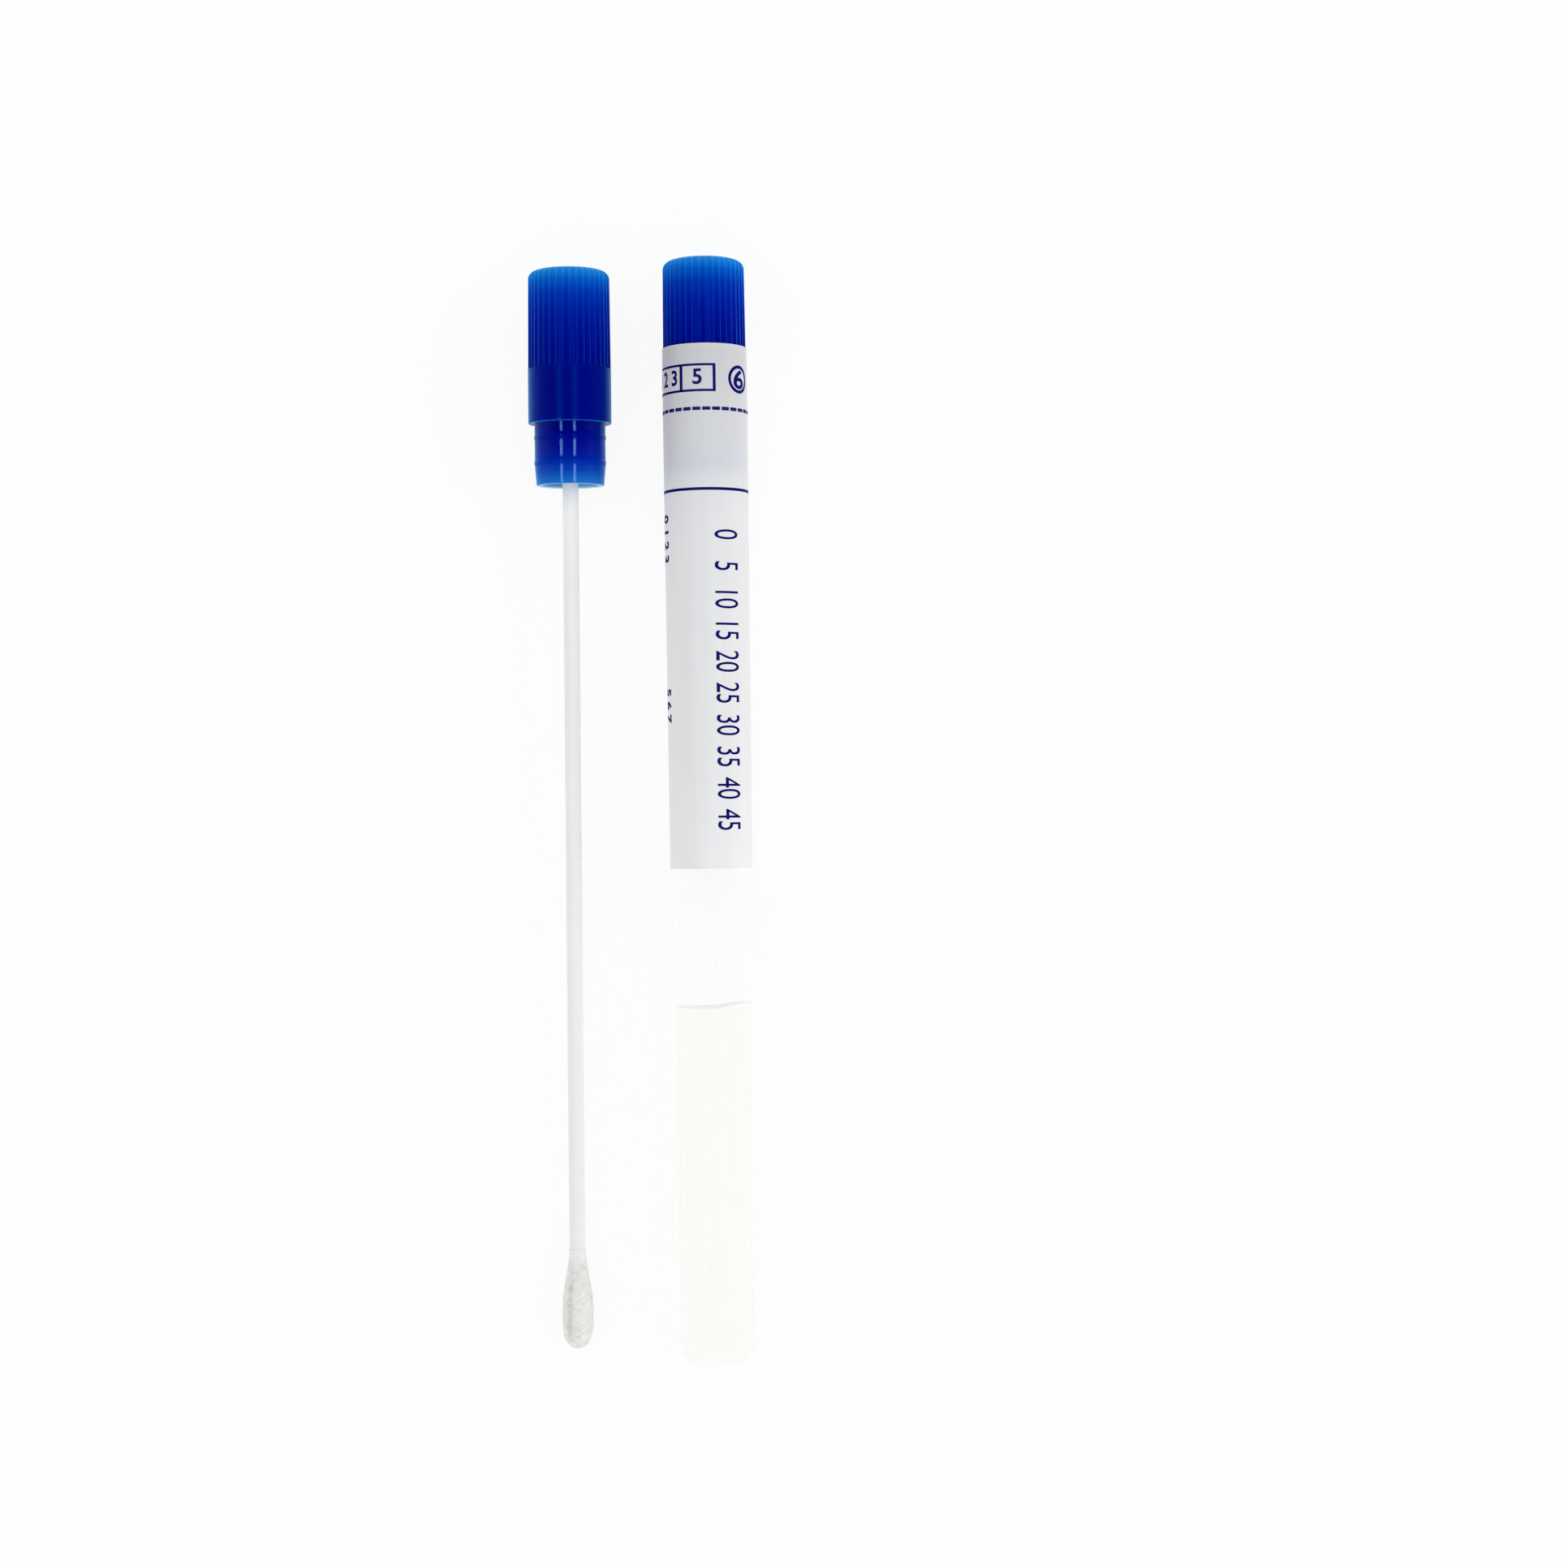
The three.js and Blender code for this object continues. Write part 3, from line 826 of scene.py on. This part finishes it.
def wound_path(length, steps, lifts):
    """A fibre on the bud, at its own slope, standing off the body by the lifts."""
    y = BUD_TIP + rng.uniform(0.3, BUD_LENGTH - 1.5)
    highest = BUD_NECK - rng.uniform(0.1, 5.0)
    turn = rng.uniform(0, TURN)
    slope = rng.choice((-1, 1)) * rng.uniform(0.15, 1.1)
    step = length / steps
    path = []
    for lift in lifts:
        radius = max(bud_radius(y), 0.2) + lift * min(max((y - BUD_TIP) / 2.5, 0.2), 1) * looseness(y)
        path.append((radius * math.cos(turn), y, radius * math.sin(turn)))
        turn += step / math.hypot(1, slope) / radius
        y += step * slope / math.hypot(1, slope)
        y = max(y, BUD_TIP + 0.12)
        if y > highest:
            slope = -abs(slope)
    return path


def bud_fibres():
    """Long strands that lie close to the core, then short loops that stand off it."""
    points, faces = [], []
    count = 0
    for number in range(STRANDS + LOOPS):
        if number < STRANDS:
            length, steps = rng.uniform(4, 11), 26
            lifts = STRAND_RADIUS * (0.6 + 0.8 * np.sin(np.linspace(0, rng.uniform(4, 16), steps)) ** 2)
        else:
            length, steps = rng.uniform(0.8, 2.4), 8
            lifts = rng.uniform(0.07, 0.22) * np.sin(np.linspace(0, math.pi, steps)) ** 0.7
        new, parts = skin(tube_along(wound_path(length, steps, lifts), STRAND_RADIUS))
        points.append(new)
        faces.extend(tuple(index + count for index in face) for face in parts)
        count += len(new)
    return np.concatenate(points), faces


def make_bud():
    bottom = SHAFT_END - 0.05
    outside = rounded_end(CORE_RADIUS, BUD_WIDEST - FUZZ, BUD_TIP + FUZZ, BUD_SHARPNESS, 28)
    heights = np.linspace(BUD_TIP + BUD_WIDEST, BUD_NECK, 60)[1:]
    line = outside + [(bud_radius(y), y) for y in heights]
    line += [(BUD_BORE, BUD_NECK), (BUD_BORE, bottom), (0, bottom)]
    body, faces = revolve(line, CORE_STEPS)
    fibres, parts = bud_fibres()
    faces += [tuple(index + len(body) for index in face) for face in parts]
    points = np.concatenate([body, fibres])
    # The stripe of painted shade: darker in colour and pressed in a little.
    shade_share = crease(points)
    reach = np.hypot(points[:, 0], points[:, 2])
    shade_share[reach < BUD_BORE + 0.005] = 0
    points[:, ::2] *= (1 - STRIPE_DENT * shade_share / np.maximum(reach, 0.1))[:, None]
    piece = add_piece("wound_bud", points, faces, SWAB_PLACE, FIBRE)
    set_values(piece, "crease", shade_share)
    set_values(piece, "strand", (np.arange(len(points)) >= len(body)).astype(float))
    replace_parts(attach(piece, "tube"), "swab_bud")


# ---------------------------------------------------------------- label


FILM_STEPS = 180
FILM_EDGE = 0.03


def film_rings(rows, radius_at):
    """A wrapped strip, once round and then on over its own start, as rings of its section."""
    step = TURN / FILM_STEPS
    lap_end = TURN + FILM_LAP / TUBE_RADIUS
    ramp = 8 * step
    stops = [(a, 0.0) for a in np.arange(0, TURN - ramp, step)]
    for a in np.arange(TURN - ramp, TURN, step):
        t = (a - TURN + ramp) / ramp
        stops.append((a, t * t * (3 - 2 * t) * (FILM + FILM_CLEARANCE)))
    stops += [(a, FILM + FILM_CLEARANCE) for a in (*np.arange(TURN, lap_end, step), lap_end)]
    rings = []
    for y in rows:
        radius = radius_at(y) + FILM_CLEARANCE
        outer = [circle(radius + lift + FILM, y, [FILM_SEAM + a])[0] for a, lift in stops]
        inner = [circle(radius + lift, y, [FILM_SEAM + a])[0] for a, lift in stops]
        rings.append(outer + inner[::-1])
    return rings


def film_solid(low, high, steps, radius_at):
    """The wrapped strip between two heights, closed at both ends."""
    rows = (low, *np.linspace(low + FILM_EDGE, high - FILM_EDGE, steps), high)
    rings = film_rings(rows, radius_at)
    points, faces = skin(rings)
    count = len(rings[0])
    half, last = count // 2, len(points) - count
    for i in range(half - 1):
        j, k, m = i + 1, count - 2 - i, count - 1 - i
        faces.append((i, j, k, m))
        faces.append((last + m, last + k, last + j, last + i))
    return points, faces


def make_label():
    solid = film_solid(LABEL_FOOT, -FILM_GAP, 40, tube_radius)
    strip = add_piece("label_strip", *solid, TUBE_PLACE, WHITE_FILM)
    even_normals(strip)
    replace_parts(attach(strip, "tube"), "tube_label")

    solid = film_solid(FILM_GAP, BAND_TOP, 8, collar_radius)
    band = add_piece("label_band", *solid, TUBE_PLACE, WHITE_FILM)
    even_normals(band)
    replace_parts(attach(band, "stopper"), "label_seal_band")


# ---------------------------------------------------------------- print

INK_LIFT = 0.012
INK_THICKNESS = 0.012
INK_STEP = 0.25


def bend_on(flat, radius_at):
    """Wraps a flat mesh round the label: its X becomes degrees right of the top, its Y the height."""
    for vertex in flat.verts:
        around, y, up = vertex.co
        radius = radius_at(y) + FILM_CLEARANCE + FILM + INK_LIFT + up
        turn = math.radians(90 - around)
        vertex.co = Vector((radius * math.cos(turn), y, radius * math.sin(turn))) * MM


def degrees(length):
    """The angle that a length along the tube's round takes."""
    return math.degrees(length / TUBE_RADIUS)


def cut_up(flat):
    """Cuts a flat mesh into strips narrow enough to bend round the tube."""
    low = min(v.co.x for v in flat.verts)
    high = max(v.co.x for v in flat.verts)
    for x in np.arange(low, high, degrees(INK_STEP))[1:]:
        whole = flat.verts[:] + flat.edges[:] + flat.faces[:]
        bmesh.ops.bisect_plane(flat, geom=whole, dist=1e-7, plane_co=(x, 0, 0), plane_no=(1, 0, 0))


def add_print(name, flat, body, radius_at=tube_radius):
    """Turns a flat mesh, in degrees across and millimetres along, into a thin layer of ink."""
    cut_up(flat)
    bend_on(flat, radius_at)
    bmesh.ops.recalc_face_normals(flat, faces=flat.faces)
    mesh = bpy.data.meshes.new(name)
    flat.to_mesh(mesh)
    flat.free()
    mesh.materials.append(INK)
    piece = bpy.data.objects.new(name, mesh)
    bpy.context.scene.collection.objects.link(piece)
    piece.matrix_world = TUBE_PLACE
    thickness = piece.modifiers.new("thickness", "SOLIDIFY")
    thickness.thickness, thickness.offset = INK_THICKNESS * MM, 1
    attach(piece, body)


def bar(flat, left, right, low, high):
    """A rectangle, in degrees across and millimetres along."""
    corners = ((left, low), (right, low), (right, high), (left, high))
    flat.faces.new([flat.verts.new((x, y, 0)) for x, y in corners])


def ring_shape(flat, centre, y, radius, width, count=48):
    """A round outline on the film."""
    loops = []
    for r in (radius, radius - width):
        turns = np.arange(count) * TURN / count
        loops.append(
            [flat.verts.new((centre + degrees(r * math.cos(t)), y + r * math.sin(t), 0)) for t in turns]
        )
    outer, inner = loops
    for i in range(count):
        j = (i + 1) % count
        flat.faces.new((outer[i], outer[j], inner[j], inner[i]))


def write(flat, text, centre, y, height, width=1.0, bold=0.0, turned=False):
    """Adds digits in the built-in font. height is that of a digit, width squeezes it."""
    curve = bpy.data.curves.new("digits", "FONT")
    curve.body, curve.align_x, curve.align_y = text, "CENTER", "CENTER"
    curve.resolution_u, curve.offset = 6, bold
    letters = bpy.data.objects.new("digits", curve)
    mesh = letters.to_mesh()
    high, low = max(v.co.y for v in mesh.vertices), min(v.co.y for v in mesh.vertices)
    scale = height / (high - low)
    start = len(flat.verts)
    flat.from_mesh(mesh)
    flat.verts.ensure_lookup_table()
    for vertex in flat.verts[start:]:
        x, z = vertex.co.x * scale * width, (vertex.co.y - (high + low) / 2) * scale
        if turned:
            x, z = z, -x
        vertex.co = (centre + degrees(x), y + z, 0)
    letters.to_mesh_clear()
    bpy.data.objects.remove(letters)
    bpy.data.curves.remove(curve)


def frame_of(flat, left, right, low, high, width, side_width):
    """The outline of a box."""
    side = degrees(side_width)
    bar(flat, left, right, high - width, high)
    bar(flat, left, right, low, low + width)
    bar(flat, left, left + side, low + width, high - width)
    bar(flat, right - side, right, low + width, high - width)


DASHES = 27
DASH_START = -2.45
DASH_SHARE = 0.815
DASH_WIDTH = 0.52


def make_perforation():
    """The printed dashes lie across the perforation, half on each part of the label."""
    for name, body, low, high in (
        ("dashes_low", "tube", -DASH_WIDTH / 2, -FILM_GAP),
        ("dashes_high", "stopper", FILM_GAP, DASH_WIDTH / 2),
    ):
        flat = bmesh.new()
        pitch = 360 / DASHES
        for k in range(DASHES):
            bar(flat, DASH_START + k * pitch, DASH_START + (k + DASH_SHARE) * pitch, low, high)
        add_print(name, flat, body, collar_radius)


# Places of the print, in degrees right of the top and in millimetres up from the tube's mouth.
LINE_LOW, LINE_HIGH = -12.72, -12.28
SCALE_TURN = 29.5
SCALE_START = -19.6
SCALE_PITCH = 4.94
SIDE_TURN = -73
SIDE_DIGITS = (("0 1 2 3", -19.9), ("5 6 7", -46.0))
BOX_LEFT, BOX_RIGHT = -112, 16.2
BOX_LOW, BOX_HIGH = 2.65, 7.02
BOX_SPLIT = (-34.2, -29.8)
BOX_DIGITS = (("5", -8.7, 1.0, 0.02), ("0 1 2 3", -74, 0.9, 0.022))
BOX_DIGIT_MIDDLE = 4.98
SIGN_TURN, SIGN_MIDDLE = 54, 4.78


def make_print():
    """Plain digits and lines stand where the label's own print would be."""
    flat = bmesh.new()
    bar(flat, -60, 300, LINE_LOW, LINE_HIGH)
    add_print("ring_line", flat, "tube")

    flat = bmesh.new()
    for place, mark in enumerate(range(0, 50, 5)):
        y = SCALE_START - place * SCALE_PITCH
        write(flat, str(mark), SCALE_TURN, y, height=4.1, width=0.6, turned=True)
    for text, y in SIDE_DIGITS:
        write(flat, text, SIDE_TURN, y, height=2.3, width=0.9, bold=0.035, turned=True)
    add_print("scale_digits", flat, "tube")

    flat = bmesh.new()
    frame_of(flat, BOX_LEFT, BOX_RIGHT, BOX_LOW, BOX_HIGH, width=0.36, side_width=0.46)
    bar(flat, *BOX_SPLIT, BOX_LOW + 0.1, BOX_HIGH - 0.1)
    for text, turn, width, bold in BOX_DIGITS:
        write(flat, text, turn, BOX_DIGIT_MIDDLE, height=2.45, width=width, bold=bold)
    ring_shape(flat, SIGN_TURN, SIGN_MIDDLE, radius=2.2, width=0.5)
    write(flat, "6", SIGN_TURN, SIGN_MIDDLE, height=3.0, width=1.3, bold=0.02)
    add_print("band_print", flat, "stopper", collar_radius)


# ---------------------------------------------------------------- stage, camera and light


FLOOR_REACH = 3000.0
FLOOR_DROP = 0.02
FLOOR_TONE = (0.92, 0.92, 0.92, 1)
FLOOR_GLOW = 0.91


def make_floor():
    """A pale floor that is seen as nearly white, and keeps a faint shadow."""
    n = Nodes("floor_white")
    path = n.add("ShaderNodeLightPath")
    seen = n.math("MAXIMUM", path.outputs["Is Camera Ray"], path.outputs["Is Glossy Ray"])
    seen = n.math("MAXIMUM", seen, path.outputs["Is Transmission Ray"])
    lit = n.add("ShaderNodeBsdfDiffuse", {"Color": FLOOR_TONE}).outputs[0]
    glow = n.add("ShaderNodeEmission", {"Color": WHITE, "Strength": 1.0}).outputs[0]
    n.show(lit, glow, n.math("MULTIPLY", seen, FLOOR_GLOW))
    corners = np.array([(-1, -1, 0), (1, -1, 0), (1, 1, 0), (-1, 1, 0)], float)
    place = Matrix.Translation((0, 0, -FLOOR_DROP * MM))
    floor = add_piece("floor", corners * FLOOR_REACH, [(0, 1, 2, 3)], place, n.material)


CAMERA_PLACE = (0.022094, -0.004508, 0.4748)
CAMERA_TILT = math.radians(1.094)
CAMERA_TURN = math.radians(-0.8116)
CAMERA_LENS = 68.33


def make_camera():
    """Looks down from 475 mm, tipped and turned a little."""
    data = bpy.data.cameras.new("camera")
    data.sensor_width, data.lens = 36.0, CAMERA_LENS
    data.clip_start, data.clip_end = 0.01, 20
    camera = bpy.data.objects.new("camera", data)
    camera.location = CAMERA_PLACE
    camera.rotation_euler = (CAMERA_TILT, 0, CAMERA_TURN)
    bpy.context.scene.collection.objects.link(camera)
    bpy.context.scene.camera = camera


def direct_only(tree):
    """1 until the light path has been scattered once, and then 0."""
    scattered = add_node(tree, "ShaderNodeLightPath").outputs["Diffuse Depth"]
    return add_node(tree, "ShaderNodeMath", {0: scattered, 1: 0.5}, operation="LESS_THAN").outputs[0]


def seen_only(data):
    """The lamp is mirrored in gloss, and light that has been scattered doesn't find it."""
    data.use_nodes = True
    tree = data.node_tree
    put(tree, tree.nodes["Emission"].inputs["Strength"], direct_only(tree))


def area_lamp(name, place, width, length, power, glossy=False, diffuse=True):
    """A lamp that faces the origin."""
    data = bpy.data.lights.new(name, "AREA")
    data.shape, data.size, data.size_y, data.energy = "RECTANGLE", width, length, power
    lamp = bpy.data.objects.new(name, data)
    back = Vector(place).normalized()
    side = Vector((0, 1, 0)).cross(back).normalized()
    turn = Matrix((side, back.cross(side), back)).transposed().to_4x4()
    lamp.matrix_world = Matrix.Translation(place) @ turn
    lamp.visible_glossy, lamp.visible_diffuse = glossy, diffuse
    lamp.visible_camera = lamp.visible_transmission = False
    if glossy:
        seen_only(data)
    bpy.context.scene.collection.objects.link(lamp)
    return data


SKY_LOW = 1.1
SKY_TOP = 0.81
MIRRORED_TOP = 0.04
KEY_PLACE = (0.95, 0.1, 0.44)
KEY_POWER = 2.0
STRIP_DISTANCE = 1.3
STRIP_POWER = 20.0
STRIP_TINT = (0.4, 0.7, 1.0)


def make_lamps():
    """A weak key from the right, and two strips that only show in gloss."""
    area_lamp("key", KEY_PLACE, 0.5, 1.0, KEY_POWER)
    for name, turn in (("strip_left", -25), ("strip_right", 18)):
        across, up = math.sin(math.radians(turn)), math.cos(math.radians(turn))
        place = (STRIP_DISTANCE * across, 0.0, STRIP_DISTANCE * up)
        strip = area_lamp(name, place, 0.2, 1.6, STRIP_POWER, glossy=True, diffuse=False)
        strip.color = STRIP_TINT


def make_world():
    """White where it is seen or shines through, and a white studio with a dark top in gloss."""
    world = bpy.data.worlds.new("studio")
    world.use_nodes = True
    bpy.context.scene.world = world
    tree = world.node_tree
    background = tree.nodes["Background"]
    background.inputs["Color"].default_value = WHITE

    def add(kind, inputs=(), **settings):
        return add_node(tree, kind, inputs, **settings).outputs

    path = add("ShaderNodeLightPath")
    up = add("ShaderNodeSeparateXYZ", {0: add("ShaderNodeTexCoord")["Generated"]})[2]
    span = {"Value": up, "From Min": 0.1, "From Max": 0.7, "To Min": 1.0, "To Max": MIRRORED_TOP}
    mirrored = add("ShaderNodeMapRange", span)[0]
    soft = add("ShaderNodeMapRange", {"Value": up, "To Min": SKY_LOW, "To Max": SKY_TOP})[0]
    straight = {0: path["Is Camera Ray"], 1: path["Is Transmission Ray"]}
    white = add("ShaderNodeMath", straight, operation="MAXIMUM")[0]
    fill = add("ShaderNodeMix", {0: path["Is Glossy Ray"], 2: soft, 3: mirrored})[0]
    seen = add("ShaderNodeMix", {0: white, 2: fill, 3: 1.0})[0]
    strength = add("ShaderNodeMix", {0: direct_only(tree), 2: soft, 3: seen})[0]
    put(tree, background.inputs["Strength"], strength)


# ---------------------------------------------------------------- the whole scene

make_tube()
make_gel()
make_caps()
make_shaft()
make_bud()
make_label()
make_perforation()
make_print()
make_floor()
make_camera()
make_lamps()
make_world()
bpy.context.scene.view_settings.view_transform = "Standard"
